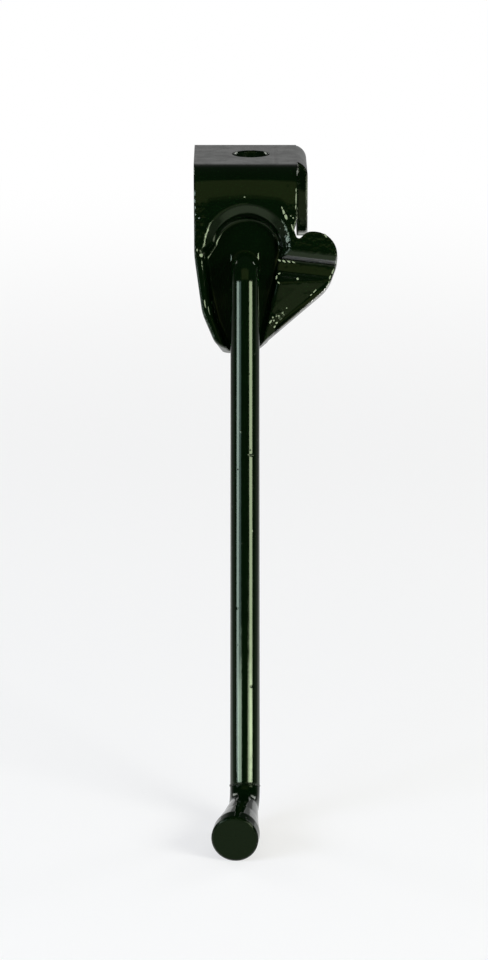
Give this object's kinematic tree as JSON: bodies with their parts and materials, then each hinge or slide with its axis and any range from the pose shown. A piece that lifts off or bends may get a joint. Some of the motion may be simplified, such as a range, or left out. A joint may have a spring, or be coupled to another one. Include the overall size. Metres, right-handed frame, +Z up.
{
  "type": "bicycle side stand",
  "caption": "Bolt-on side stand for a small bicycle: pressed steel bracket with a dished pivot plate, and a sprung bent rod leg with a flared foot.",
  "frame": {"origin": "centre of the frame bolt's hole, on the top flange's upper face", "axes": "+X to the bicycle's rear, +Y to its right-hand side, +Z up along the frame bolt"},
  "size_m": [0.0397, 0.1415, 0.1612],
  "materials": {
    "black_paint": "gloss",
    "zinc": "satin",
    "spring_steel": "satin"
  },
  "bodies": {
    "mounting": {"bracket": "black_paint", "inner_washer": "zinc"},
    "swing_leg": {"leg": "black_paint", "foot": "black_paint", "spring": "spring_steel", "end_washer": "zinc"}
  },
  "joints": [
    {"name": "leg_swing", "type": "hinge", "parent": "mounting", "child": "swing_leg", "pos_m": [-0.00165, -0.03126, -0.02406], "axis": [0, -0.891, 0.454], "range_deg": [0, 83]}
  ]
}
